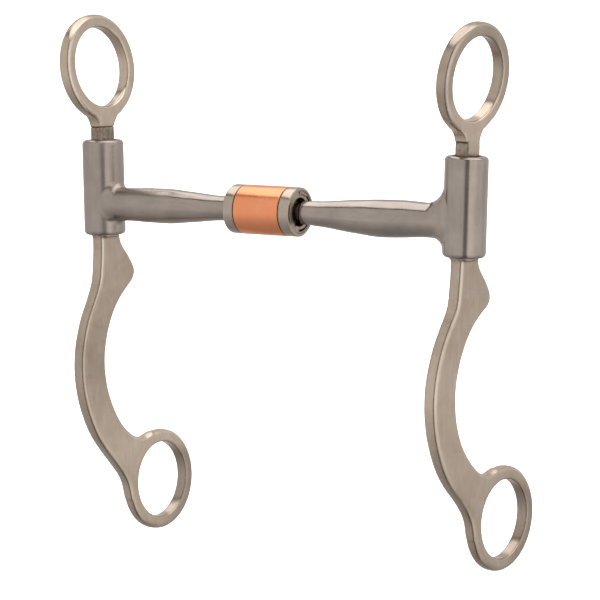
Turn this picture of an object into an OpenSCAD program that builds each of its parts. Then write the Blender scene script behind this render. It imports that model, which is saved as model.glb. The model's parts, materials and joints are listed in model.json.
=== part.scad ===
// Loose-cheek curb bit with a jointed mouthpiece: two swept-back cheeks turn in
// sleeves cast on tapered cannons, and the cannons meet in a short barrel that
// carries a copper roller. Millimetres.
// Frame: origin at the centre of the barrel, +X along the mouthpiece to the right,
// +Y towards the swept-back rein rings, +Z up towards the headstall rings.

/* [Barrel] */
// Length of the barrel over its two collars
barrel_len = 25.4; // [24:0.2:28]
// Diameter of a collar
collar_d = 16.3; // [16:0.1:18]
// Width of a collar
collar_w = 3.8; // [3.4:0.1:4.2]
// Diameter of the copper roller
roller_d = 16.4; // [16:0.1:18]
// Diameter of the hole where a cannon enters the barrel
mouth_hole_d = 9.4; // [9.2:0.1:9.8]

/* [Cannons] */
// Distance from the centre of a ball head to the axis of its cheek sleeve
reach = 63.8; // [60:0.2:75]
// Distance from the barrel's centre to the centre of a ball head
ball_x = 7; // [6.8:0.1:7.2]
// Angle each cannon is folded back from a straight mouthpiece, at rest
fold = 5.5; // [0:0.5:8]
// Angle each cannon slopes down towards its cheek
droop = 1.5; // [0:0.5:2]
// Diameter of a cannon at its fullest
swell_d = 12; // [11:0.2:13]
// Diameter of a cannon beside the barrel
tip_d = 7.8; // [7.4:0.1:8]

/* [Sleeves] */
// Outer diameter of a cheek sleeve
sleeve_d = 14.1; // [13.8:0.1:15]
// Height of the sleeve's top above the cannon's axis
sleeve_top = 22; // [20:0.2:24]
// Depth of the sleeve's bottom below the cannon's axis
sleeve_drop = 10.4; // [10:0.2:10.6]
// Diameter of the sleeve's bore
bore_d = 9.5; // [9.3:0.1:9.7]
// Radial running clearance of a cheek's journal in the bore
journal_gap = 0.07; // [0.02:0.01:0.1]

/* [Cheeks] */
// Thickness of the cheek's bar, across the mouth
bar_t = 5.2; // [4.8:0.1:5.6]
// Inner diameter of a headstall ring
head_hole_d = 27; // [25:0.2:28]
// Height of a headstall ring's centre above the cannon's axis
head_z = 46.8; // [46:0.2:50]
// Inner diameter of a rein ring
rein_hole_d = 26.2; // [25:0.2:27]
// Thickness of both rings, along their holes
ring_t = 4.8; // [4.6:0.1:5.2]
// Width of both rings' wire, from the hole to the outside
ring_w = 4.4; // [4:0.1:4.8]
// Angle a headstall ring leans away from the horse's face
flare = 6; // [0:0.5:8]
// Angle the left cheek is turned outwards in its sleeve, at rest
left_turn = 1.5; // [-20:0.5:20]
// Angle the right cheek is turned outwards in its sleeve, at rest
right_turn = 11; // [-20:0.5:20]

/* [Hidden] */
$fn = 96;

// Barrel
barrel_end = barrel_len / 2;
collar_in = barrel_end - collar_w;
core_r = 7;
keeper_in = barrel_end - 2.1;
keeper_out = barrel_end - 0.2;
cavity_r = 5.9;
web_half = 1.6;
running_gap = 0.06;
roller_end_gap = 0.15;
slot_r = 6;
// Gaps between the keeper's staked lands, as [start, end] angles about X from +Y
slot_angles = [[30, 52], [150, 200], [264, 314]];

// Ball head, its bore and the spigot that holds it
ball_r = 5.6;
ball_half = 3.2;
spigot_r = 2.3;
spigot_neck_r = 2.9;
rivet_r = 3.1;
rivet_t = 0.9;
thrust_gap = 0.15;
// Distance from the ball's centre to the cannon's rounded inner end
shoulder_x = 4.9;

// Cheek. Outline points are [y, z], y towards the back.
journal_r = bore_d / 2 - journal_gap;
neck_w = 7.8;
neck_z = 26.4;
neck_t = 5;
flats_w = 7.3;
flats_t = 4.8;
flats_z = 21.2;
tenon = [3.6, 5.2, 3];
tenon_root = 1;
flare_z = 33;
web_split = 31;
shank_top = -(sleeve_drop + 0.3);
rein_c = [25.2, -98.6];
ring_round = 1.5;
hole_round = 0.9;
head_r = head_hole_d / 2 + ring_w / 2;
rein_r = rein_hole_d / 2 + ring_w / 2;
// Front edge, from the sleeve down to the rein ring
front_pts = [
    [-4.8, shank_top], [-4.8, -14], [-5.2, -20], [-6.2, -26.3], [-9.5, -32.3], [-13.2, -38.8],
    [-16.1, -47.3], [-17, -55.3], [-16.2, -63.3], [-13.9, -70.8], [-10, -78.4], [-5, -84.6],
    [1.2, -90.6], [5, -95], [7.4, -99.6], [8.7, -103]
];
// Back edge with its rounded fin, from the sleeve down to the rein ring
back_pts = [
    [5, shank_top], [6.3, -13.4], [9.6, -17.6], [12, -20.9], [13.1, -23.9], [12, -26.9],
    [8, -29.9], [4, -33.4], [0.3, -38.4], [-2.8, -45.4], [-4.3, -53.4], [-3.3, -62.4],
    [0, -70.4], [4.6, -76.4], [9.4, -80.4], [13.2, -82.1], [17, -82.5], [21, -81.8]
];

// Cannon profile as [distance from the sleeve's axis, radius]
swell_r = swell_d / 2;
cannon_pts = [
    [reach - shoulder_x, tip_d / 2 - 1.7], [reach - shoulder_x - 0.5, tip_d / 2 - 0.8],
    [reach - shoulder_x - 1.1, tip_d / 2 - 0.25], [reach - shoulder_x - 2, tip_d / 2],
    [50, 4.25], [44, 4.8], [38, 5.3], [32, 5.8], [28, swell_r], [24, swell_r],
    [17, 5.85], [11.5, 5.75], [3, 5.75]
];
// Fillet that spreads the cannon's root over the sleeve
root_pts = [[12, 5.7], [10.5, 5.85], [9, 6.4], [7.8, 7.4], [6.9, 9.2], [3, 9.2]];
root_half_w = 6.2;

// Point on a Catmull-Rom curve between b and c, for t from 0 to 1
function blend_pt(a, b, c, d, t) =
    0.5 * (2 * b + (c - a) * t + (2 * a - 5 * b + 4 * c - d) * t * t
        + (3 * b - a - 3 * c + d) * t * t * t);

// Smooth curve through a list of points, with n steps between neighbours
function smooth_curve(p, n) = concat(
    [for (i = [0 : len(p) - 2], k = [0 : n - 1])
        blend_pt(p[max(i - 1, 0)], p[i], p[i + 1], p[min(i + 2, len(p) - 1)], k / n)],
    [p[len(p) - 1]]
);

function reversed(p) = [for (i = [len(p) - 1 : -1 : 0]) p[i]];

// Points on an arc about c, for angles from a0 to a1
function arc_pts(c, r, a0, a1, n) =
    [for (k = [0 : n]) let (a = a0 + (a1 - a0) * k / n) c + r * [cos(a), sin(a)]];

// Places a part on one side: built for the right, mirrored for the left
module on_side(s) {
    mirror([s < 0 ? 1 : 0, 0, 0])
        translate([ball_x, 0, 0])
            rotate([0, droop, fold])
                children();
}

// Places a cheek in its sleeve, turned outwards by an angle
module in_sleeve(s) {
    on_side(s)
        translate([reach, 0, 0])
            rotate([0, 0, s < 0 ? -left_turn : -right_turn])
                children();
}

// Leans a headstall ring outwards
module flared() {
    translate([0, 0, flare_z])
        rotate([0, flare, 0])
            translate([0, 0, -flare_z])
                children();
}

// Turns a [y, z] outline into a plate of thickness t across X
module plate(t) {
    rotate([90, 0, 90])
        linear_extrude(t, center = true)
            children();
}

// Section of a ring's wire, centred at [r, 0], its corners rounded less beside the hole
module ring_section(r) {
    half_w = ring_w / 2;
    translate([r, 0]) {
        translate([hole_round - half_w, -ring_t / 2])
            square([ring_w - hole_round - ring_round, ring_t]);
        translate([-half_w, hole_round - ring_t / 2])
            square([hole_round, ring_t - 2 * hole_round]);
        translate([half_w - ring_round, ring_round - ring_t / 2])
            square([ring_round, ring_t - 2 * ring_round]);
        for (k = [-1, 1]) {
            translate([hole_round - half_w, k * (ring_t / 2 - hole_round)]) circle(hole_round);
            translate([half_w - ring_round, k * (ring_t / 2 - ring_round)]) circle(ring_round);
        }
    }
}

// Ring with its hole along X, centred at [0, y, z]
module ring(c, r) {
    translate([0, c[0], c[1]])
        rotate([0, 90, 0])
            rotate_extrude() ring_section(r);
}

// Web between the headstall ring and the shoulder above the sleeve
module neck_web() {
    fillet_r = 3;
    side = neck_w / 2;
    reach_r = head_r + ring_w / 2 + fillet_r;
    dz = sqrt(reach_r * reach_r - (side + fillet_r) * (side + fillet_r));
    a = atan2(dz, side + fillet_r);
    fillet = arc_pts([side + fillet_r, head_z - dz], fillet_r, 180, 180 - a, 10);
    inner = arc_pts([0, head_z], head_r, -50, -130, 16);
    plate(neck_t)
        polygon(concat([[side, neck_z]], fillet, inner,
            [for (p = reversed(fillet)) [-p[0], p[1]]], [[-side, neck_z]]));
}

// Tenon that is welded into the headstall piece
module tenon_block() {
    translate([-tenon[0] / 2, -tenon[1] / 2, neck_z - tenon_root])
        cube([tenon[0], tenon[1], tenon[2] + tenon_root]);
}

// Cuts a part to the side of height z that it is asked for
module upper(z) {
    difference() {
        children();
        translate([-12, -12, z - 20]) cube([24, 24, 20]);
    }
}

module lower(z) {
    intersection() {
        children();
        translate([-12, -12, z - 20]) cube([24, 24, 20]);
    }
}

module purchase() {
    color("#b3a99f")
        difference() {
            union() {
                flared() {
                    ring([0, head_z], head_r);
                    upper(web_split) neck_web();
                }
                lower(web_split + 0.3) neck_web();
            }
            tenon_block();
        }
}

module shank() {
    color("#aca297") {
        ring(rein_c, rein_r);
        plate(bar_t)
            polygon(concat(
                smooth_curve(front_pts, 4),
                arc_pts(rein_c, rein_r, 196, 106, 14),
                reversed(smooth_curve(back_pts, 4))));
        // Journal that runs in the sleeve
        translate([0, 0, shank_top]) cylinder(h = flats_z - shank_top, r = journal_r);
        // Flats above the sleeve, with their corners taken off
        intersection() {
            translate([-flats_t / 2, -flats_w / 2, flats_z - 1])
                cube([flats_t, flats_w, neck_z - flats_z + 1]);
            translate([0, 0, flats_z - 1]) cylinder(h = 20, r = 4.2);
        }
        tenon_block();
    }
}

// Profile of points [x, r] spun about X
module turned(pts) {
    ends = concat([[pts[0][0], 0]], pts, [[pts[len(pts) - 1][0], 0]]);
    rotate([0, 90, 0])
        rotate_extrude()
            polygon([for (p = ends) [p[1], p[0]]]);
}

module cannon() {
    edge = 1;
    wall_r = sleeve_d / 2;
    color("#9c9895") {
        difference() {
            union() {
                turned([for (p = cannon_pts) [reach - p[0], p[1]]]);
                intersection() {
                    turned([for (p = root_pts) [reach - p[0], p[1]]]);
                    translate([reach - 20, -root_half_w, -sleeve_drop + 0.4])
                        cube([20, 2 * root_half_w, 2 * sleeve_drop]);
                }
                translate([reach, 0, 0])
                    rotate_extrude()
                        polygon([
                            [0, -sleeve_drop], [wall_r - edge, -sleeve_drop],
                            [wall_r - 0.3 * edge, -sleeve_drop + 0.3 * edge],
                            [wall_r, -sleeve_drop + edge], [wall_r, sleeve_top - edge],
                            [wall_r - 0.3 * edge, sleeve_top - 0.3 * edge],
                            [wall_r - edge, sleeve_top], [0, sleeve_top]
                        ]);
            }
            translate([reach, 0, -sleeve_drop - 1])
                cylinder(h = sleeve_top + sleeve_drop + 2, r = bore_d / 2);
        }
        // Spigot: neck, journal for the ball head and riveted end
        turned([
            [shoulder_x + 1, spigot_neck_r], [ball_half + thrust_gap, spigot_neck_r],
            [ball_half + thrust_gap, spigot_r], [-ball_half - thrust_gap, spigot_r],
            [-ball_half - thrust_gap, rivet_r],
            [-ball_half - thrust_gap - rivet_t / 2, rivet_r],
            [-ball_half - thrust_gap - rivet_t, rivet_r - 0.8]
        ]);
    }
}

module ball_head() {
    color("#8f8c8a")
        difference() {
            intersection() {
                sphere(ball_r);
                rotate([0, 90, 0]) cylinder(h = 2 * ball_half, r = 2 * ball_r, center = true);
            }
            rotate([0, 90, 0])
                cylinder(h = 4 * ball_half, r = spigot_r + running_gap, center = true);
        }
}

// Rod about X from x0 to x1
module rod_x(x0, x1, r) {
    translate([x0, 0, 0])
        rotate([0, 90, 0])
            cylinder(h = x1 - x0, r = r);
}

// Tube about X from x0 to x1
module tube_x(x0, x1, r_out, r_in) {
    difference() {
        rod_x(x0, x1, r_out);
        rod_x(x0 - 1, x1 + 1, r_in);
    }
}

// Core that spans the barrel, with a pocket for a ball head at each end
module barrel_core() {
    color("#8f8c8a")
        difference() {
            rod_x(-keeper_in, keeper_in, core_r);
            rod_x(-keeper_in - 1, -web_half, cavity_r);
            rod_x(web_half, keeper_in + 1, cavity_r);
        }
}

module roller() {
    half = collar_in - roller_end_gap;
    color("#cf7f58")
        tube_x(-half, half, roller_d / 2, core_r + running_gap);
}

// Collar pressed over the end of the core, its outer edges rounded
module collar() {
    edge = 0.6;
    r = collar_d / 2;
    color("#a8a49b")
        rotate([0, 90, 0])
            rotate_extrude()
                polygon([
                    [core_r, collar_in], [r - 0.2, collar_in], [r, collar_in + 0.2],
                    [r, barrel_end - edge], [r - 0.3 * edge, barrel_end - 0.3 * edge],
                    [r - edge, barrel_end], [core_r, barrel_end]
                ]);
}

// Washer staked inside the collar, with gaps left between the staked lands
module keeper() {
    color("#8f8c8a")
        difference() {
            tube_x(keeper_in, keeper_out, core_r, mouth_hole_d / 2);
            for (a = slot_angles)
                translate([keeper_in - 1, 0, 0])
                    rotate([90, 0, 90])
                        linear_extrude(4)
                            polygon(concat(
                                arc_pts([0, 0], slot_r, a[0], a[1], 12),
                                arc_pts([0, 0], core_r + 1, a[1], a[0], 12)));
        }
}

in_sleeve(-1) purchase();  // left_purchase
in_sleeve(-1) shank();  // left_shank
on_side(-1) cannon();  // left_cannon
on_side(-1) ball_head();  // left_ball
mirror([1, 0, 0]) keeper();  // left_keeper
mirror([1, 0, 0]) collar();  // left_collar
barrel_core();
roller();  // copper_roller
collar();  // right_collar
keeper();  // right_keeper
on_side(1) ball_head();  // right_ball
on_side(1) cannon();  // right_cannon
in_sleeve(1) shank();  // right_shank
in_sleeve(1) purchase();  // right_purchase
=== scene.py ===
"""Looks of a loose-cheek curb bit with a copper roller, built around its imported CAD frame.

Shapes are worked out in millimetres in each part's own frame (x out along the cannon or
through the cheek's rings, y to the back, z up the sleeve) and placed by the frame's joints.
"""
import json
import math

import bpy
import numpy as np
from mathutils import Matrix, Vector


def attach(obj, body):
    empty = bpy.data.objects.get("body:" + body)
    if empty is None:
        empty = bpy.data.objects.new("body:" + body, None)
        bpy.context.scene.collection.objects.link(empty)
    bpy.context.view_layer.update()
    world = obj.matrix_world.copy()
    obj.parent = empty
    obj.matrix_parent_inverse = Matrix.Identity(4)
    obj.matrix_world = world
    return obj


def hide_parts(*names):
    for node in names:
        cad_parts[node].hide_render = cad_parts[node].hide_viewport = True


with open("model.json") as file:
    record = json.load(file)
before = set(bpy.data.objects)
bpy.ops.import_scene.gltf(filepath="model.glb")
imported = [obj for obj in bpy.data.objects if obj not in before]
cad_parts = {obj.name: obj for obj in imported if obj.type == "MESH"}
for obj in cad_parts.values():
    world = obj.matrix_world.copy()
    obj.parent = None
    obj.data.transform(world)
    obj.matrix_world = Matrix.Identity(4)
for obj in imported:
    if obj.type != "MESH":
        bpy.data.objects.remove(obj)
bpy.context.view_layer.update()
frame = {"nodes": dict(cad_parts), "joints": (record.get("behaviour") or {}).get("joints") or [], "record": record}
JOINTS = {j["name"]: j for j in frame["joints"]}
MOUNTS = {m["name"]: m for m in frame["record"]["mounts"]}
MM = 0.001
SIDES = {"left": -1, "right": 1}


# ---------------------------------------------------------------- placing

def local_frame(origin, x_axis, z_axis, side):
    """4x4 that takes a part's own millimetres to the row frame; mirrored on the left."""
    x = np.array(x_axis, float)
    z = np.array(z_axis, float)
    x /= np.linalg.norm(x)
    z -= x * (x @ z)
    z /= np.linalg.norm(z)
    m = np.eye(4)
    m[:3, 0], m[:3, 1], m[:3, 2] = x * MM, np.cross(z, x) * side * MM, z * MM
    m[:3, 3] = origin
    return m


def cannon_frame(side_name):
    """Origin at the ball head's centre, x out along the cannon, z up the sleeve."""
    spin = JOINTS[side_name + "_cannon_spin"]
    sleeve = JOINTS[side_name + "_cheek_swivel"]
    return local_frame(spin["pos_m"], spin["axis"], sleeve["axis"], SIDES[side_name])


def cheek_frame(side_name):
    """Origin on the sleeve's axis at the cannon's height, x out through the rein ring."""
    sleeve = JOINTS[side_name + "_cheek_swivel"]
    ring = MOUNTS[side_name + "_rein_ring"]
    z = np.array(sleeve["axis"], float)
    x = np.array(ring["axis"], float)
    x -= z * (x @ z)
    return local_frame(sleeve["pos_m"], x, z, SIDES[side_name])


def to_local(m, point):
    """A row-frame point in metres, in the millimetres of a local frame."""
    return np.linalg.solve(m, np.append(np.array(point, float), 1))[:3]


def place(points, m):
    return points @ m[:3, :3].T + m[:3, 3]


# ---------------------------------------------------------------- shapes as distance fields

STEP = 0.42                # grid step of the cheeks' and cannons' skins
KEEPER_STEP = 0.16         # a finer one for the keepers' narrow gaps


def smooth_min(a, b, k):
    """Union with a fillet about k across."""
    h = np.clip(0.5 + 0.5 * (b - a) / k, 0, 1)
    return b * (1 - h) + a * h - k * h * (1 - h)


def round_join(a, b, r):
    """Union with a round fillet of radius r."""
    return np.maximum(r, np.minimum(a, b)) - np.hypot(
        np.maximum(r - a, 0), np.maximum(r - b, 0))


def round_cut(a, b, r):
    """Intersection whose outer edge is rounded to radius r."""
    return np.minimum(np.maximum(a + r, b + r), 0) + np.hypot(
        np.maximum(a + r, 0), np.maximum(b + r, 0)) - r


def ramp(x, low, high):
    t = np.clip((x - low) / (high - low), 0, 1)
    return t * t * (3 - 2 * t)


def smooth_curve(points, steps):
    """Catmull-Rom curve through points, as part.scad draws it."""
    p = np.array(points, float)
    out = []
    for i in range(len(p) - 1):
        a, b, c, d = p[max(i - 1, 0)], p[i], p[i + 1], p[min(i + 2, len(p) - 1)]
        for k in range(steps):
            t = k / steps
            out.append(0.5 * (2 * b + (c - a) * t + (2 * a - 5 * b + 4 * c - d) * t * t
                              + (3 * b - a - 3 * c + d) * t ** 3))
    out.append(p[-1])
    return np.array(out)


def outline_distance(points, outline):
    """Signed distance from 2D points to a closed outline, negative inside."""
    nearest = np.full(len(points), 1e18)
    inside = np.zeros(len(points), bool)
    x, y = points[:, 0], points[:, 1]
    for a, b in zip(outline, np.roll(outline, -1, 0)):
        edge = b - a
        length2 = edge @ edge
        if length2 < 1e-12:
            continue
        t = np.clip(((x - a[0]) * edge[0] + (y - a[1]) * edge[1]) / length2, 0, 1)
        nearest = np.minimum(
            nearest, (x - a[0] - t * edge[0]) ** 2 + (y - a[1] - t * edge[1]) ** 2)
        if a[1] != b[1]:
            crosses = (a[1] > y) != (b[1] > y)
            inside ^= crosses & (x < a[0] + (y - a[1]) * edge[0] / edge[1])
    d = np.sqrt(nearest)
    return np.where(inside, -d, d)


def gradient(field, p, h=0.01):
    g = np.empty_like(p)
    for k in range(3):
        step = np.zeros(3)
        step[k] = h
        g[:, k] = (field(p + step) - field(p - step)) / (2 * h)
    return g


def settle(field, p, rounds=3):
    """Moves points onto the field's zero surface."""
    for _ in range(rounds):
        g = gradient(field, p)
        g2 = np.maximum((g * g).sum(1), 0.2)
        p = p - g * (np.clip(field(p), -0.4, 0.4) / g2)[:, None]
    return p


def skin(field, low, high, step, relax=2):
    """Quad mesh of the field's zero surface by surface nets, evened out and settled on it."""
    low, high = np.array(low, float), np.array(high, float)
    n = np.ceil((high - low) / step).astype(int) + 1
    axes = [low[k] + step * np.arange(n[k]) for k in range(3)]
    grid = np.stack(np.meshgrid(*axes, indexing="ij"), -1).reshape(-1, 3)
    f = field(grid).reshape(n)
    solid = f < 0
    cells = tuple(n - 1)
    count = np.zeros(cells, int)
    total = np.zeros(cells + (3,))
    crossings = np.zeros(cells)
    corner = [(i, j, k) for i in (0, 1) for j in (0, 1) for k in (0, 1)]
    view = {c: tuple(slice(c[k], c[k] + cells[k]) for k in range(3)) for c in corner}
    for c in corner:
        count += solid[view[c]]
    for a in corner:
        for k in range(3):
            if a[k]:
                continue
            b = tuple(1 if q == k else a[q] for q in range(3))
            fa, fb = f[view[a]], f[view[b]]
            crossed = (fa < 0) != (fb < 0)
            t = np.where(crossed, fa / np.where(crossed, fa - fb, 1), 0)
            crossings += crossed
            for q in range(3):
                total[..., q] += crossed * (a[q] + (t if q == k else 0))
    active = (count > 0) & (count < 8)
    index = np.full(cells, -1)
    index[active] = np.arange(active.sum())
    where = np.argwhere(active)
    p = low + step * (where + total[active] / crossings[active][:, None])
    quads = []
    for k in range(3):
        u, v = (k + 1) % 3, (k + 2) % 3
        inner = [slice(1, n[q] - 1) for q in range(3)]
        inner[k] = slice(0, n[k] - 1)
        ahead = list(inner)
        ahead[k] = slice(1, n[k])
        s0, s1 = solid[tuple(inner)], solid[tuple(ahead)]
        at = np.argwhere(s0 != s1) + [s.start for s in inner]
        outward = s0[s0 != s1]

        def cell(du, dv):
            q = at.copy()
            q[:, u] -= du
            q[:, v] -= dv
            return index[q[:, 0], q[:, 1], q[:, 2]]

        ring = np.stack([cell(1, 1), cell(0, 1), cell(0, 0), cell(1, 0)], 1)
        ring[~outward] = ring[~outward][:, ::-1]
        quads.append(ring)
    quads = np.concatenate(quads)
    p = settle(field, p)
    pairs = np.concatenate([quads[:, [i, (i + 1) % 4]] for i in range(4)])
    for _ in range(relax):
        mean = np.zeros_like(p)
        many = np.zeros(len(p))
        for a, b in ((0, 1), (1, 0)):
            np.add.at(mean, pairs[:, a], p[pairs[:, b]])
            np.add.at(many, pairs[:, a], 1)
        p = settle(field, 0.5 * p + 0.5 * mean / many[:, None], 2)
    return p, quads


def mesh_object(name, points, faces, body, materials):
    """A new smooth-shaded piece that rides on a body."""
    mesh = bpy.data.meshes.new(name)
    mesh.from_pydata([tuple(q) for q in points], [], [tuple(q) for q in faces])
    mesh.validate()
    mesh.polygons.foreach_set("use_smooth", [True] * len(mesh.polygons))
    for m in materials:
        mesh.materials.append(m)
    piece = bpy.data.objects.new(name, mesh)
    bpy.context.scene.collection.objects.link(piece)
    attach(piece, body)
    return piece


# ---------------------------------------------------------------- cheeks

BAR_HALF = 2.6             # half the bar's thickness
RING_HALF = 2.4            # half the rings' thickness
RING_WIDTH = 4.4           # width of a ring's wire, from the hole to the outside
HOLE_EDGE = 0.9            # rounding of the rings' edges beside their holes
JOURNAL_R = 4.68
SLEEVE_TOP = 22.0
SLEEVE_BOTTOM = -10.4
SHANK_TOP = -10.7
NECK_Z = 26.4              # shoulder where the headstall piece starts
NECK_HALF = 3.9
NECK_X = 2.5
RECESS_Y = 3.1             # front face of the recess cut in the right neck
FLARE_Z = 33.0
FRONT = [
    (-4.8, SHANK_TOP), (-4.8, -14), (-5.2, -20), (-6.2, -26.3), (-9.5, -32.3), (-13.2, -38.8),
    (-16.1, -47.3), (-17, -55.3), (-16.2, -63.3), (-13.9, -70.8), (-10, -78.4), (-5, -84.6),
    (1.2, -90.6), (5, -95), (7.4, -99.6), (8.7, -103),
]
BACK = [
    (5, SHANK_TOP), (6.3, -13.4), (9.6, -17.6), (12, -20.9), (13.1, -23.9), (12, -26.9),
    (8, -29.9), (4, -33.4), (0.3, -38.4), (-2.8, -45.4), (-4.3, -53.4), (-3.3, -62.4),
    (0, -70.4), (4.6, -76.4), (9.4, -80.4), (13.2, -82.1), (17, -82.5), (21, -81.8),
]
OVERRUN = 3                # how far the outline is drawn past the bar's top before it is cut

# How far back each cheek's bow lies from the pattern
BOW_SHIFT = {"left": 0.45, "right": -0.3}
# Painted light and shade along each cheek: how much lighter or darker its metal is made, as (height, tone); 0
# leaves its colour as it is
PAINTED_SHADING = {
    "left": [(-95, 0.4), (-85, 0.8), (-72, 0.2), (-55, -0.6), (-40, -0.2), (-28, 0), (24, 0),
             (28, 0.6)],
    "right": [(-95, 0), (-80, 0.3), (-68, 0.5), (-55, 0.65), (-40, 0.3), (-25, 0), (22, 0),
              (28, 0.8), (36, 0.6), (42, -0.3)],
}


def arc(centre, r, start, end, count):
    a = np.radians(np.linspace(start, end, count))
    return np.stack([centre[0] + r * np.cos(a), centre[1] + r * np.sin(a)], 1)


def shank_field(m, side_name):
    """Bar with its fin and rein ring, journal and flats."""
    ring = MOUNTS[side_name + "_rein_ring"]
    centre = to_local(m, ring["pos_m"])[1:]
    hole_r = ring["dims"]["r_mm"]
    mid_r = hole_r + RING_WIDTH / 2
    # Above the sleeve the left cheek is cut in all round. The right one is cut in only in front,
    # where its headstall piece comes down over these flats.
    flat_x, flat_mid, flat_y = (2.3, 0, 3.6) if side_name == "left" else (2.2, 0.3, 3.2)
    front, back = np.array(FRONT, float), np.array(BACK, float)
    # Only the bow's own points move; those at the fin and at the rein ring stay.
    front[4:-4, 0] += BOW_SHIFT[side_name]
    back[6:-5, 0] += BOW_SHIFT[side_name]
    front[0, 1] += OVERRUN
    back[0, 1] += OVERRUN
    outline = np.concatenate([
        smooth_curve(front, 4), arc(centre, mid_r, 196, 106, 15),
        smooth_curve(back, 4)[::-1]])

    def field(p):
        x, y, z = p[:, 0], p[:, 1], p[:, 2]
        bar = outline_distance(p[:, 1:], outline)
        wire = np.hypot(y - centre[0], z - centre[1])
        flat = smooth_min(bar, wire - hole_r - RING_WIDTH, 1.6)
        flat = np.maximum(flat, hole_r - wire)
        near_ring = 1 - ramp(wire - hole_r - RING_WIDTH, 0, 8)
        half = BAR_HALF + (RING_HALF - BAR_HALF) * near_ring
        crown = 0.14 * (1 - ramp(-flat, 0, 3.2))
        edge = 1.65 + 0.15 * ramp(-z, 25, 45)
        edge += (HOLE_EDGE - edge) * (1 - ramp(wire - hole_r, 1.4, 2.6))
        plate = round_cut(flat, np.abs(x) - half + crown, edge)
        plate = round_cut(plate, z - SHANK_TOP, 0.2)
        journal = round_cut(np.hypot(x, y) - JOURNAL_R, np.abs(z - 5) - 16.2, 0.3)
        flats = round_cut(np.abs(x) - flat_x, np.abs(y - flat_mid) - flat_y, 0.3)
        flats = round_cut(flats, np.abs(z - 20) - (NECK_Z - 20), 0.08)
        return np.minimum(np.minimum(plate, journal), flats)

    low = (-5.2, -18, centre[1] - mid_r - RING_WIDTH)
    high = (5.2, centre[0] + mid_r + RING_WIDTH, NECK_Z + 1)
    return field, low, high


def purchase_field(m, side_name):
    """Headstall ring with its flared web, down to the shoulder above the sleeve."""
    ring = MOUNTS[side_name + "_headstall_ring"]
    axis = np.linalg.solve(m[:3, :3] / MM, np.array(ring["axis"], float))
    flare = math.atan2(-axis[2], axis[0])
    at = to_local(m, ring["pos_m"])
    rise = math.hypot(at[0], at[2] - FLARE_Z)
    centre_z = FLARE_Z + rise
    hole_r = ring["dims"]["r_mm"]
    c, s = math.cos(flare), math.sin(flare)

    def field(p):
        up = p[:, 2] - FLARE_Z
        bent = ramp(p[:, 2], FLARE_Z - 5, FLARE_Z)
        x = p[:, 0] + (c * p[:, 0] - s * up - p[:, 0]) * bent
        z = p[:, 2] + (s * p[:, 0] + c * up - up) * bent
        y = p[:, 1]
        wire = np.hypot(y, z - centre_z)
        neck = np.maximum(np.abs(y) - NECK_HALF, z - centre_z + hole_r + 1)
        flat = round_join(neck, wire - hole_r - RING_WIDTH, 3.0)
        flat = np.maximum(flat, hole_r - wire)
        near_ring = 1 - ramp(wire - hole_r - RING_WIDTH, -2, 3)
        half = NECK_X + (RING_HALF - NECK_X) * near_ring
        facets = 0.04 * np.sin(0.9 * y + 1.1 * z) * (1 - ramp(z, NECK_Z + 4.5, NECK_Z + 7.5))
        crown = 0.12 * (1 - ramp(-flat, 0, 2.2)) + facets
        edge = 0.45 + 1.15 * ramp(z, NECK_Z + 1.5, NECK_Z + 6)
        edge += (HOLE_EDGE - edge) * (1 - ramp(wire - hole_r, 1.4, 2.6))
        plate = round_cut(flat, np.abs(x) - half + crown, edge)
        if side_name == "left":
            return round_cut(plate, NECK_Z - p[:, 2], 0.15)
        plate = round_cut(plate, SLEEVE_TOP - 0.7 - p[:, 2], 0.1)
        return round_cut(plate, -np.maximum(y + RECESS_Y, p[:, 2] - NECK_Z), 0.08)

    low = (-4.5, -19, SLEEVE_TOP - 1.5)
    high = (8, 19, centre_z + 19)
    return field, low, high


# ---------------------------------------------------------------- cannons

SLEEVE_R = 7.05
BORE_R = 4.75
SLEEVE_EDGE = 1.5
# Fillet radii of each cannon's root above, below and at its sides
ROOT_FILLET = {"left": (2.6, 1.8, 2.4), "right": (6.6, 3.7, 3.0)}
# How much each cannon is fuller or leaner than its pattern round its swell
SWELL = {"left": -0.04, "right": 0.22}
# How far each cannon's axis rises towards its root
LIFT = {"left": 0.15, "right": 0.6}
# Cannon's profile as (distance from the sleeve's axis, radius)
CANNON = [
    (0, 5.7), (8, 5.7), (12, 5.65), (16, 5.72), (20, 5.85), (25, 5.97), (28, 5.97), (32, 5.8),
    (36, 5.45), (40, 5.1), (44, 4.75), (48, 4.42), (52, 4.15), (57.5, 3.9), (70, 3.9),
]
SHOULDER_X = 4.9           # cannon's rounded inner end, from the ball's centre
# The inner end's rounding, as the distance from its face and how far the radius drops there
TIP_AT = (0, 0.5, 1.1, 2)
TIP_DROP = (1.7, 0.8, 0.25, 0)


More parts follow.
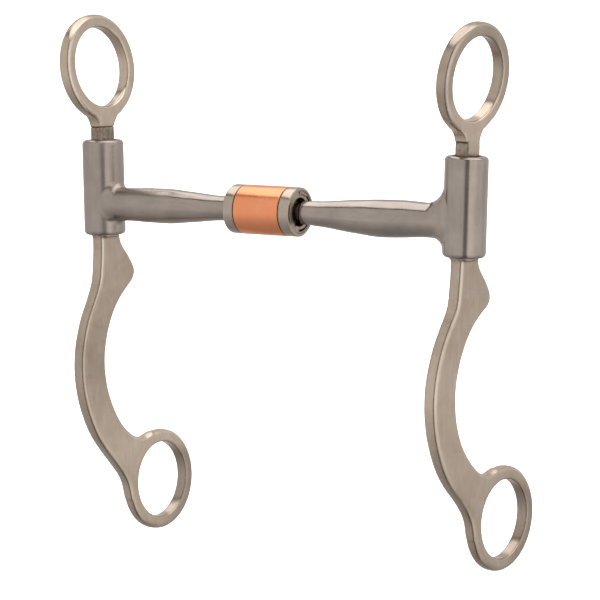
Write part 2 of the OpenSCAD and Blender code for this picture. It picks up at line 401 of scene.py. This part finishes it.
def cannon_field(m, side_name):
    """Tapered cannon, filleted into its cheek sleeve, with a stub where its spigot begins."""
    reach = to_local(m, JOINTS[side_name + "_cheek_swivel"]["pos_m"])[0]
    profile = smooth_curve(CANNON, 6)
    above, below, beside = ROOT_FILLET[side_name]
    middle = (SLEEVE_TOP + SLEEVE_BOTTOM) / 2
    half = (SLEEVE_TOP - SLEEVE_BOTTOM) / 2

    def field(p):
        x, y = p[:, 0], p[:, 1]
        z = p[:, 2] - LIFT[side_name] * (1 - ramp(reach - x, 14, 32))
        rho = np.hypot(y, z)
        r = np.interp(reach - x, profile[:, 0], profile[:, 1])
        turn = np.arctan2(z, y)
        r = r + SWELL[side_name] * ramp(reach - x, 14, 24) * (1 - ramp(reach - x, 38, 54))
        ripple = 0.04 * np.sin(x * 0.42 + 1.3) * np.sin(2 * turn + x * 0.11)
        r = r + ripple * ramp(x, 7, 12)
        r = r - np.interp(x - SHOULDER_X, TIP_AT, TIP_DROP)
        bar = round_cut(rho - r, SHOULDER_X - x, 0.3)
        bar = np.maximum(bar, x - reach)
        off = np.hypot(x - reach, y)
        ends = np.abs(p[:, 2] - middle) - half
        shell = round_cut(off - SLEEVE_R, ends, SLEEVE_EDGE)
        lean = z / np.maximum(rho, 1)
        fillet = beside + (above - beside) * ramp(lean, 0, 1) + (below - beside) * ramp(-lean, 0, 1)
        fillet = 0.02 + fillet * (1 - ramp(x, reach - 6.5, reach - 2))
        body = round_join(bar, shell, fillet)
        body = np.maximum(body, ends)
        neck = np.maximum(rho - 2.9, np.abs(x - 4.6) - 1.2)
        body = np.minimum(body, neck)
        return round_cut(body, BORE_R - off, 0.25)

    low = (2, -8.5, SLEEVE_BOTTOM - 1)
    high = (reach + SLEEVE_R + 1, 8.5, SLEEVE_TOP + 1)
    return field, low, high


# ---------------------------------------------------------------- barrel

BARREL_HALF = 12.7
COLLAR_IN = 8.9
COLLAR_R = 8.15
CORE_R = 7.0
ROLLER_R = 8.2
ROLLER_GAP = 0.34          # between the roller's end and a collar
KEEPER_IN = 10.6
KEEPER_OUT = 12.5
KEEPER_HOLE_R = 4.7


def lathe(profile, count=128):
    """Closed profile of (x, radius) points spun about X."""
    pts = np.array(profile, float)
    turns = np.linspace(0, 2 * math.pi, count, endpoint=False)
    p = np.stack([
        np.repeat(pts[None, :, 0], count, 0),
        pts[None, :, 1] * np.cos(turns)[:, None],
        pts[None, :, 1] * np.sin(turns)[:, None]], -1)
    n = len(pts)
    faces = []
    for i in range(count):
        for k in range(n):
            a, b = i * n + k, i * n + (k + 1) % n
            c, d = ((i + 1) % count) * n + (k + 1) % n, ((i + 1) % count) * n + k
            faces.append((a, b, c, d))
    return p.reshape(-1, 3), faces


def rounded(points, r, steps=5):
    """Closed (x, radius) outline with its corners rounded; r is one radius per corner."""
    pts = np.array(points, float)
    out = []
    for i, radius in enumerate(r):
        here = pts[i]
        before = pts[i - 1] - here
        after = pts[(i + 1) % len(pts)] - here
        if radius == 0:
            out.append(here)
            continue
        before /= np.linalg.norm(before)
        after /= np.linalg.norm(after)
        half = math.acos(np.clip(before @ after, -1, 1)) / 2
        start, end = here + before * radius / math.tan(half), here + after * radius / math.tan(half)
        centre = here + (before + after) / np.linalg.norm(before + after) * radius / math.sin(half)
        for k in range(steps + 1):
            q = start + (end - start) * k / steps - centre
            out.append(centre + q / np.linalg.norm(q) * radius)
    return out


# ---------------------------------------------------------------- materials

def noise(tree, vector, scale, detail=3.0, stretch=(1, 1, 1)):
    """Noise over the object's own coordinates, drawn out by stretch."""
    mapping = tree.nodes.new("ShaderNodeMapping")
    mapping.inputs["Scale"].default_value = stretch
    tree.links.new(vector, mapping.inputs["Vector"])
    tex = tree.nodes.new("ShaderNodeTexNoise")
    tex.inputs["Scale"].default_value = scale
    tex.inputs["Detail"].default_value = detail
    tex.inputs["Roughness"].default_value = 0.6
    tree.links.new(mapping.outputs["Vector"], tex.inputs["Vector"])
    return tex.outputs["Fac"]


def remap(tree, value, low, high, to_low, to_high):
    node = tree.nodes.new("ShaderNodeMapRange")
    node.inputs["From Min"].default_value = low
    node.inputs["From Max"].default_value = high
    node.inputs["To Min"].default_value = to_low
    node.inputs["To Max"].default_value = to_high
    tree.links.new(value, node.inputs["Value"])
    return node.outputs["Result"]


def mix_colour(tree, factor, a, b):
    """Mix of two colours, each an RGB tuple or a socket."""
    node = tree.nodes.new("ShaderNodeMix")
    node.data_type = "RGBA"
    tree.links.new(factor, node.inputs[0])
    for socket, value in ((node.inputs[6], a), (node.inputs[7], b)):
        if isinstance(value, tuple):
            socket.default_value = (*value, 1)
        else:
            tree.links.new(value, socket)
    return node.outputs[2]


def combine(tree, operation, a, b):
    node = tree.nodes.new("ShaderNodeMath")
    node.operation = operation
    for socket, value in zip(node.inputs, (a, b)):
        if isinstance(value, (int, float)):
            socket.default_value = value
        else:
            tree.links.new(value, socket)
    return node.outputs[0]


# Painted light and shade: the per-vertex value scales a metal's colour between these
DARKEST, LIGHTEST = 0.72, 1.28     # what a tone of -1 and of 1 multiply a metal's colour by


def metal(name, light, dark, rough, grain, brush, bump, upright=None, stain=0.1,
          painted_shade_and_oxide=(0.10, 0.08, 0.065)):
    """Satin metal: cloudy colour, polishing lines drawn out by brush, stains and pits, with painted shade and
    oxide, painted highlights and painted light and shade read from per-vertex masks.
    """
    material = bpy.data.materials.new(name)
    material.use_nodes = True
    tree = material.node_tree
    shader = tree.nodes["Principled BSDF"]
    shader.inputs["Metallic"].default_value = 1.0
    where = tree.nodes.new("ShaderNodeTexCoord").outputs["Object"]
    cloud = noise(tree, where, 90, 4)
    lines = noise(tree, where, grain, 2, brush)
    if upright:
        turned = tree.nodes.new("ShaderNodeAttribute")
        turned.attribute_name = "upright"
        other = noise(tree, where, grain, 2, upright)
        node = tree.nodes.new("ShaderNodeMix")
        tree.links.new(turned.outputs["Fac"], node.inputs[0])
        tree.links.new(lines, node.inputs[2])
        tree.links.new(other, node.inputs[3])
        lines = node.outputs[0]
    pits = noise(tree, where, 2600, 2)
    colour = mix_colour(tree, remap(tree, cloud, 0.32, 0.68, 0, 1), dark, light)
    streak = remap(tree, lines, 0.3, 0.7, 0, 0.22)
    colour = mix_colour(tree, streak, colour, tuple(c * 0.72 for c in dark))
    patches = noise(tree, where, 170, 5)
    colour = mix_colour(tree, remap(tree, patches, 0.52, 0.75, 0, stain), colour,
                        (0.42, 0.27, 0.18))
    # Painted shade in hollows, gaps and bores, and oxide on the flats, from a per-vertex mask broken up by mottle
    mask = tree.nodes.new("ShaderNodeAttribute")
    mask.attribute_name = "painted_shade_and_oxide"
    mottle = noise(tree, where, 700, 3)
    broken = combine(tree, "MULTIPLY", mask.outputs["Fac"], remap(tree, mottle, 0.3, 0.7, 1, 0.3))
    # Painted highlight: colour lightened along rounded edges by a per-vertex mask
    glint = tree.nodes.new("ShaderNodeAttribute")
    glint.attribute_name = "glint"
    colour = mix_colour(tree, combine(tree, "MULTIPLY", glint.outputs["Fac"], 0.6), colour,
                        (0.80, 0.74, 0.67))
    colour = mix_colour(tree, broken, colour, painted_shade_and_oxide)
    # Painted light and shade: colour scaled lighter or darker by a per-vertex value
    painted_shading = tree.nodes.new("ShaderNodeAttribute")
    painted_shading.attribute_name = "painted_shading"
    bright = tree.nodes.new("ShaderNodeVectorMath")
    bright.operation = "SCALE"
    tree.links.new(colour, bright.inputs[0])
    scale = remap(tree, painted_shading.outputs["Fac"], -1, 1, DARKEST, LIGHTEST)
    tree.links.new(scale, bright.inputs["Scale"])
    tree.links.new(bright.outputs["Vector"], shader.inputs["Base Color"])
    roughness = combine(tree, "ADD", remap(tree, lines, 0.25, 0.75, rough - 0.04, rough + 0.05),
                        remap(tree, cloud, 0.3, 0.7, -0.02, 0.03))
    roughness = combine(tree, "ADD", roughness, combine(tree, "MULTIPLY", broken, 0.25))
    dull = tree.nodes.new("ShaderNodeAttribute")
    dull.attribute_name = "dull"
    roughness = combine(tree, "ADD", roughness, combine(tree, "MULTIPLY", dull.outputs["Fac"], 0.12))
    tree.links.new(roughness, shader.inputs["Roughness"])
    height = combine(tree, "ADD", combine(tree, "MULTIPLY", lines, 0.6),
                     combine(tree, "MULTIPLY", pits, 0.4))
    relief = tree.nodes.new("ShaderNodeBump")
    relief.inputs["Strength"].default_value = 1.0
    relief.inputs["Distance"].default_value = bump
    tree.links.new(height, relief.inputs["Height"])
    tree.links.new(relief.outputs["Normal"], shader.inputs["Normal"])
    return material


CHEEK = metal("cheek_steel", (0.54, 0.455, 0.38), (0.47, 0.385, 0.31), 0.22, 700, (1, 1, 0.18),
              2e-5, stain=0.45)
CANNON_STEEL = metal("cannon_steel", (0.435, 0.38, 0.345), (0.36, 0.31, 0.28), 0.17, 700,
                     (0.2, 1, 1), 2e-5, upright=(1, 1, 0.12))
COLLAR_STEEL = metal("collar_steel", (0.54, 0.47, 0.40), (0.44, 0.38, 0.315), 0.19, 1400,
                     (6, 0.4, 0.4), 1.5e-5, stain=0.35)
INNER_STEEL = metal("inner_steel", (0.48, 0.41, 0.35), (0.33, 0.28, 0.235), 0.30, 900, (1, 1, 1),
                    3e-5, stain=0.5)
COPPER = metal("copper", (0.97, 0.39, 0.20), (0.92, 0.33, 0.16), 0.22, 2200, (5, 0.3, 0.3),
               1.5e-5, stain=0)


# ---------------------------------------------------------------- building


def edge_glint(field, points):
    """Painted highlight mask: 1 on the rounded edges between a plate's rim and its flat faces."""
    n = gradient(field, points)
    lean = np.degrees(np.arctan2(np.abs(n[:, 0]), np.hypot(n[:, 1], n[:, 2])))
    return ramp(lean, 45, 54) * (1 - ramp(lean, 64, 78))


def add_mask(piece, values, name="painted_shade_and_oxide"):
    """Stores a value per vertex for the materials to read."""
    layer = piece.data.attributes.new(name, "FLOAT", "POINT")
    layer.data.foreach_set("value", np.asarray(values, np.float32))


def side_piece(name, node, side_name, m, points, quads, body, material, painted_shade_and_oxide, dull=0):
    """Places one side's shape and lets it stand for its CAD node."""
    faces = quads if SIDES[side_name] > 0 else quads[:, ::-1]
    piece = mesh_object(name, place(points, m), faces, body, [material])
    add_mask(piece, painted_shade_and_oxide)
    add_mask(piece, np.zeros(len(points)) + dull, "dull")
    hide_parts(node)
    return piece


def painted_shading_along(side_name, points):
    heights, tones = zip(*PAINTED_SHADING[side_name])
    return np.interp(points[:, 2], heights, tones)


def build_cheeks():
    for side_name in SIDES:
        m = cheek_frame(side_name)
        body = side_name + "_cheek"
        field, low, high = shank_field(m, side_name)
        shank, quads = skin(field, low, high, STEP)
        z = shank[:, 2]
        # Darkened from inside the sleeve's bore up over the flats: painted shade in the bore and under the
        # headstall piece, and oxide on the flats
        painted_shade_and_oxide = ramp(z, SLEEVE_TOP - 2, SLEEVE_TOP + 0.5) * 0.8
        # Painted shade in a band on the bar just below the sleeve
        edge = ramp(-z, 10.3, 10.9) * (1 - ramp(-z, 11.0, 12.2))
        piece = side_piece(side_name + "_shank_bar", side_name + "_shank", side_name, m, shank,
                           quads, body, CHEEK, np.maximum(painted_shade_and_oxide, 0.6 * edge))
        # Painted highlight along the bar's rounded edges below the sleeve, weaker down the bar and at the rein
        # ring
        below = ramp(-z, 10.8, 12)
        near_ring = ramp(-z, 86, 92)
        highlight_fade = below * (1 - 0.65 * ramp(-z, 24, 35))
        add_mask(piece, highlight_fade * (1 - 0.5 * near_ring) * edge_glint(field, shank), "glint")
        # Painted shade: the back half of the rein ring is made darker.
        shaded_back = ramp(shank[:, 1], 20, 36) * near_ring
        add_mask(piece, painted_shading_along(side_name, shank) * (1 - shaded_back) - 0.9 * shaded_back, "painted_shading")
        field, low, high = purchase_field(m, side_name)
        purchase, quads = skin(field, low, high, STEP)
        # Darkened only below the shoulder; on the left a band of painted shade along the headstall piece's bottom
        # edge
        deep = 0.5
        # Oxide in the right neck's recess, with painted shadow deepest along its outer side and top under the
        # step, and painted shade at its foot by the sleeve
        if side_name == "right":
            deep = 0.74 + 0.26 * np.maximum(ramp(purchase[:, 0], 1.5, 2.2),
                                            ramp(purchase[:, 2], NECK_Z - 0.7, NECK_Z - 0.1))
            deep = deep * (1 - ramp(purchase[:, 1], 0.2 - RECESS_Y, 0.7 - RECESS_Y))
            deep = np.maximum(deep, 0.5 * (1 - ramp(purchase[:, 2], 22.0, 23.6)))
        painted_shade_and_oxide = deep * (1 - ramp(purchase[:, 2], NECK_Z, NECK_Z + 0.5))
        piece = side_piece(side_name + "_headstall_ring", side_name + "_purchase", side_name, m,
                           purchase, quads, body, CHEEK, painted_shade_and_oxide)
        # Painted highlight along the headstall ring's rounded edges above the neck
        above = ramp(purchase[:, 2], NECK_Z + 3, NECK_Z + 6)
        add_mask(piece, 0.6 * above * edge_glint(field, purchase), "glint")
        add_mask(piece, painted_shading_along(side_name, purchase), "painted_shading")


def build_cannons():
    for side_name in SIDES:
        m = cannon_frame(side_name)
        points, quads = skin(*cannon_field(m, side_name), STEP)
        reach = to_local(m, JOINTS[side_name + "_cheek_swivel"]["pos_m"])[0]
        off = np.hypot(points[:, 0] - reach, points[:, 1])
        # Painted shade inside the sleeve's bore and on the cannon's inner end, which sits in the barrel's hole
        inside = 1 - ramp(off, BORE_R + 0.1, BORE_R + 0.8)
        tip = 1 - ramp(points[:, 0], SHOULDER_X + 0.7, SHOULDER_X + 1.7)
        piece = side_piece(side_name + "_cannon_bar", side_name + "_cannon", side_name, m, points,
                           quads, side_name + "_cannon", CANNON_STEEL,
                           np.maximum(0.7 * inside, 0.9 * tip),
                           ramp(points[:, 0], 26, 42) if side_name == "left" else 0)
        add_mask(piece, ramp(points[:, 0], reach - 9, reach - 6), "upright")


def keeper_shape():
    """Staked washer on the right, with the gaps and the nick beside its lands."""
    # Each gap is (from, to) in degrees about X, its radius at either end, half width and depth.
    gaps = [
        (30, 52, 6.35, 6.2, 0.34, 2), (56, 96, 5.7, 5.7, 0.2, 0.4), (90, 97, 6.4, 6.4, 0.3, 1),
        (150, 200, 6.5, 6.5, 0.2, 1), (264, 314, 6.05, 6.35, 0.34, 2), (232, 240, 5.1, 5.1, 0.4, 1),
    ]

    def field(p):
        rho = np.hypot(p[:, 1], p[:, 2])
        turn = np.degrees(np.arctan2(p[:, 2], p[:, 1])) % 360
        ends = np.abs(p[:, 0] - (KEEPER_IN + KEEPER_OUT) / 2) - (KEEPER_OUT - KEEPER_IN) / 2
        plate = round_cut(rho - CORE_R, ends, 0.1)
        plate = round_cut(plate, KEEPER_HOLE_R - rho, 0.25)
        for low, high, r_low, r_high, half, depth in gaps:
            t = np.clip((turn - low) / (high - low), 0, 1)
            along = np.maximum(low - turn, turn - high) * np.pi / 180 * rho
            gap = np.maximum(np.abs(rho - r_low - (r_high - r_low) * t) - half, along)
            plate = np.maximum(plate, -np.maximum(gap, KEEPER_OUT - depth - p[:, 0]))
        return plate

    low = (KEEPER_IN - 0.4, -CORE_R - 0.4, -CORE_R - 0.4)
    high = (KEEPER_OUT + 0.4, CORE_R + 0.4, CORE_R + 0.4)
    return skin(field, low, high, KEEPER_STEP)


def build_barrel():
    collar, collar_faces = lathe(rounded(
        [(COLLAR_IN, CORE_R + 0.02), (COLLAR_IN, COLLAR_R), (BARREL_HALF, COLLAR_R),
         (BARREL_HALF, CORE_R + 0.02)], [0, 0.3, 0.5, 0.15]))
    keeper, keeper_quads = keeper_shape()
    for side_name, sign in SIDES.items():
        flip = np.array([sign, 1, 1]) * MM
        order = slice(None) if sign > 0 else slice(None, None, -1)
        piece = mesh_object(side_name + "_collar_ring", collar * flip,
                            [f[order] for f in collar_faces], "barrel",
                            [COLLAR_STEEL])
        # Painted shade along the collar's inner edges, beside the roller's gap and round the keeper
        add_mask(piece, 0.4 * (1 - ramp(np.hypot(collar[:, 1], collar[:, 2]), 7.05, 7.3)))
        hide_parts(side_name + "_collar")
        piece = mesh_object(side_name + "_keeper_washer", keeper * flip,
                            keeper_quads[:, order], "barrel", [INNER_STEEL])
        # Painted shade down in the keeper's gaps, round its hole and along its outer rim
        rho = np.hypot(keeper[:, 1], keeper[:, 2])
        sunk = 1 - ramp(keeper[:, 0], KEEPER_OUT - 0.7, KEEPER_OUT - 0.15)
        mouth = 1 - ramp(rho, KEEPER_HOLE_R, KEEPER_HOLE_R + 0.2)
        rim = ramp(rho, CORE_R - 0.2, CORE_R - 0.05)
        add_mask(piece, np.maximum.reduce([0.9 * sunk, 0.7 * mouth, 0.25 * rim]))
        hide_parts(side_name + "_keeper")
    half = COLLAR_IN - ROLLER_GAP
    roller, roller_faces = lathe(rounded(
        [(-half, CORE_R + 0.06), (-half, ROLLER_R), (half, ROLLER_R), (half, CORE_R + 0.06)],
        [0, 0.3, 0.3, 0]))
    piece = mesh_object("copper_sleeve", roller * MM, roller_faces, "roller", [COPPER])
    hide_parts("copper_roller")
    for node in ("barrel_core", "left_ball", "right_ball"):
        slots = frame["nodes"][node].data.materials
        slots.clear()
        slots.append(INNER_STEEL)


# ---------------------------------------------------------------- studio

CAMERA_AZ = 32.25
CAMERA_EL = 6.87
CAMERA_DISTANCE = 1.0
CAMERA_SHIFT = (0.01053, -0.02944)     # metres to the right and up
LENS = 182.9
FLOOR_Z = -0.135


def camera_axes():
    a, e = math.radians(CAMERA_AZ), math.radians(CAMERA_EL)
    back = Vector((math.sin(a) * math.cos(e), -math.cos(a) * math.cos(e), math.sin(e)))
    right = Vector((math.cos(a), math.sin(a), 0))
    return back, right, back.cross(right)


def build_camera():
    back, right, up = camera_axes()
    data = bpy.data.cameras.new("camera")
    data.lens = LENS
    data.sensor_width = 36
    camera = bpy.data.objects.new("camera", data)
    camera.location = back * CAMERA_DISTANCE + right * CAMERA_SHIFT[0] + up * CAMERA_SHIFT[1]
    camera.rotation_mode = "QUATERNION"
    camera.rotation_quaternion = back.to_track_quat("Z", "Y")
    bpy.context.scene.collection.objects.link(camera)
    bpy.context.scene.camera = camera


def build_floor():
    size = 40.0
    mesh = bpy.data.meshes.new("floor")
    mesh.from_pydata([(-size, -size, FLOOR_Z), (size, -size, FLOOR_Z), (size, size, FLOOR_Z),
                      (-size, size, FLOOR_Z)], [], [(0, 1, 2, 3)])
    material = bpy.data.materials.new("floor")
    material.use_nodes = True
    shader = material.node_tree.nodes["Principled BSDF"]
    shader.inputs["Base Color"].default_value = (0.92, 0.92, 0.92, 1)
    shader.inputs["Roughness"].default_value = 1.0
    shader.inputs["Specular IOR Level"].default_value = 0.0
    mesh.materials.append(material)
    floor = bpy.data.objects.new("floor", mesh)
    bpy.context.scene.collection.objects.link(floor)
    floor.visible_glossy = False


def dot(tree, vector, axis):
    node = tree.nodes.new("ShaderNodeVectorMath")
    node.operation = "DOT_PRODUCT"
    tree.links.new(vector, node.inputs[0])
    node.inputs[1].default_value = axis
    return node.outputs["Value"]


def soft_step(tree, value, low, high):
    node = tree.nodes.new("ShaderNodeMapRange")
    node.interpolation_type = "SMOOTHSTEP"
    node.inputs["From Min"].default_value = low
    node.inputs["From Max"].default_value = high
    tree.links.new(value, node.inputs["Value"])
    return node.outputs["Result"]


def build_world():
    """A light tent: pale walls, a wide soft light overhead and the dark slot in front."""
    world = bpy.data.worlds.new("studio")
    bpy.context.scene.world = world
    world.use_nodes = True
    tree = world.node_tree
    tree.nodes.clear()
    where = tree.nodes.new("ShaderNodeTexCoord").outputs["Generated"]
    a = math.radians(CAMERA_AZ)
    ahead = dot(tree, where, (math.sin(a), -math.cos(a), 0))
    across = dot(tree, where, (math.cos(a), math.sin(a), 0))
    height = dot(tree, where, (0, 0, 1))
    overhead = dot(tree, where, (0, 0.35, 0.94))
    in_front = soft_step(tree, ahead, 0.0, 0.2)
    walls = remap(tree, height, -0.95, -0.2, 0.40, 0.86)
    left = remap(tree, ahead, -0.5, 0.3, 0.85, 0.965)
    right = soft_step(tree, across, -0.2, 0.9)
    side = combine(tree, "ADD", combine(tree, "MULTIPLY", right,
                                        remap(tree, ahead, -0.25, 0.1, 0.87, 1.05)),
                   combine(tree, "MULTIPLY", left, combine(tree, "SUBTRACT", 1.0, right)))
    walls = combine(tree, "MULTIPLY", walls, side)
    strip = combine(tree, "MULTIPLY", soft_step(tree, across, 0.16, 0.26),
                    combine(tree, "SUBTRACT", 1.0, soft_step(tree, across, 0.45, 0.95)))
    strip = combine(tree, "MULTIPLY", strip, in_front)
    walls = combine(tree, "ADD", walls, combine(tree, "MULTIPLY", strip, 0.30))
    slot = combine(tree, "SUBTRACT", 1.0, soft_step(
        tree, combine(tree, "ABSOLUTE", across, 0), 0.12, 0.24))
    slot = combine(tree, "MULTIPLY", slot, in_front)
    walls = combine(tree, "MULTIPLY", walls, remap(tree, slot, 0, 1, 1, 0.3))
    near = combine(tree, "SUBTRACT", 1.0,
                   soft_step(tree, dot(tree, where, (0, 1, 0)), 0.50, 0.62))
    edge = combine(tree, "MULTIPLY", soft_step(tree, overhead, 0.57, 0.61), near)
    walls = combine(tree, "MULTIPLY", walls, remap(tree, edge, 0, 1, 1, 0.15))
    lamp = combine(tree, "MULTIPLY", soft_step(tree, overhead, 0.67, 0.71), near)
    light = combine(tree, "ADD", combine(tree, "MULTIPLY", walls,
                    combine(tree, "SUBTRACT", 1.0, lamp)),
                    combine(tree, "MULTIPLY", lamp, 1.9))
    seen = tree.nodes.new("ShaderNodeLightPath").outputs["Is Camera Ray"]
    tent = tree.nodes.new("ShaderNodeBackground")
    tent.inputs["Color"].default_value = (1.0, 0.975, 0.945, 1)
    tree.links.new(light, tent.inputs["Strength"])
    plain = tree.nodes.new("ShaderNodeBackground")
    plain.inputs["Color"].default_value = (1, 1, 1, 1)
    plain.inputs["Strength"].default_value = 1.0
    choose = tree.nodes.new("ShaderNodeMixShader")
    tree.links.new(seen, choose.inputs[0])
    tree.links.new(tent.outputs[0], choose.inputs[1])
    tree.links.new(plain.outputs[0], choose.inputs[2])
    out = tree.nodes.new("ShaderNodeOutputWorld")
    tree.links.new(choose.outputs[0], out.inputs["Surface"])


def build_lights():
    """One wide soft light from above, which keeps the floor evenly pale."""
    data = bpy.data.lights.new("overhead", "SUN")
    data.energy = 3.6
    data.angle = math.radians(120)
    light = bpy.data.objects.new("overhead", data)
    light.visible_glossy = False
    bpy.context.scene.collection.objects.link(light)


build_camera()
build_cheeks()
build_cannons()
build_barrel()
build_floor()
build_world()
build_lights()
bpy.context.scene.view_settings.view_transform = "Standard"
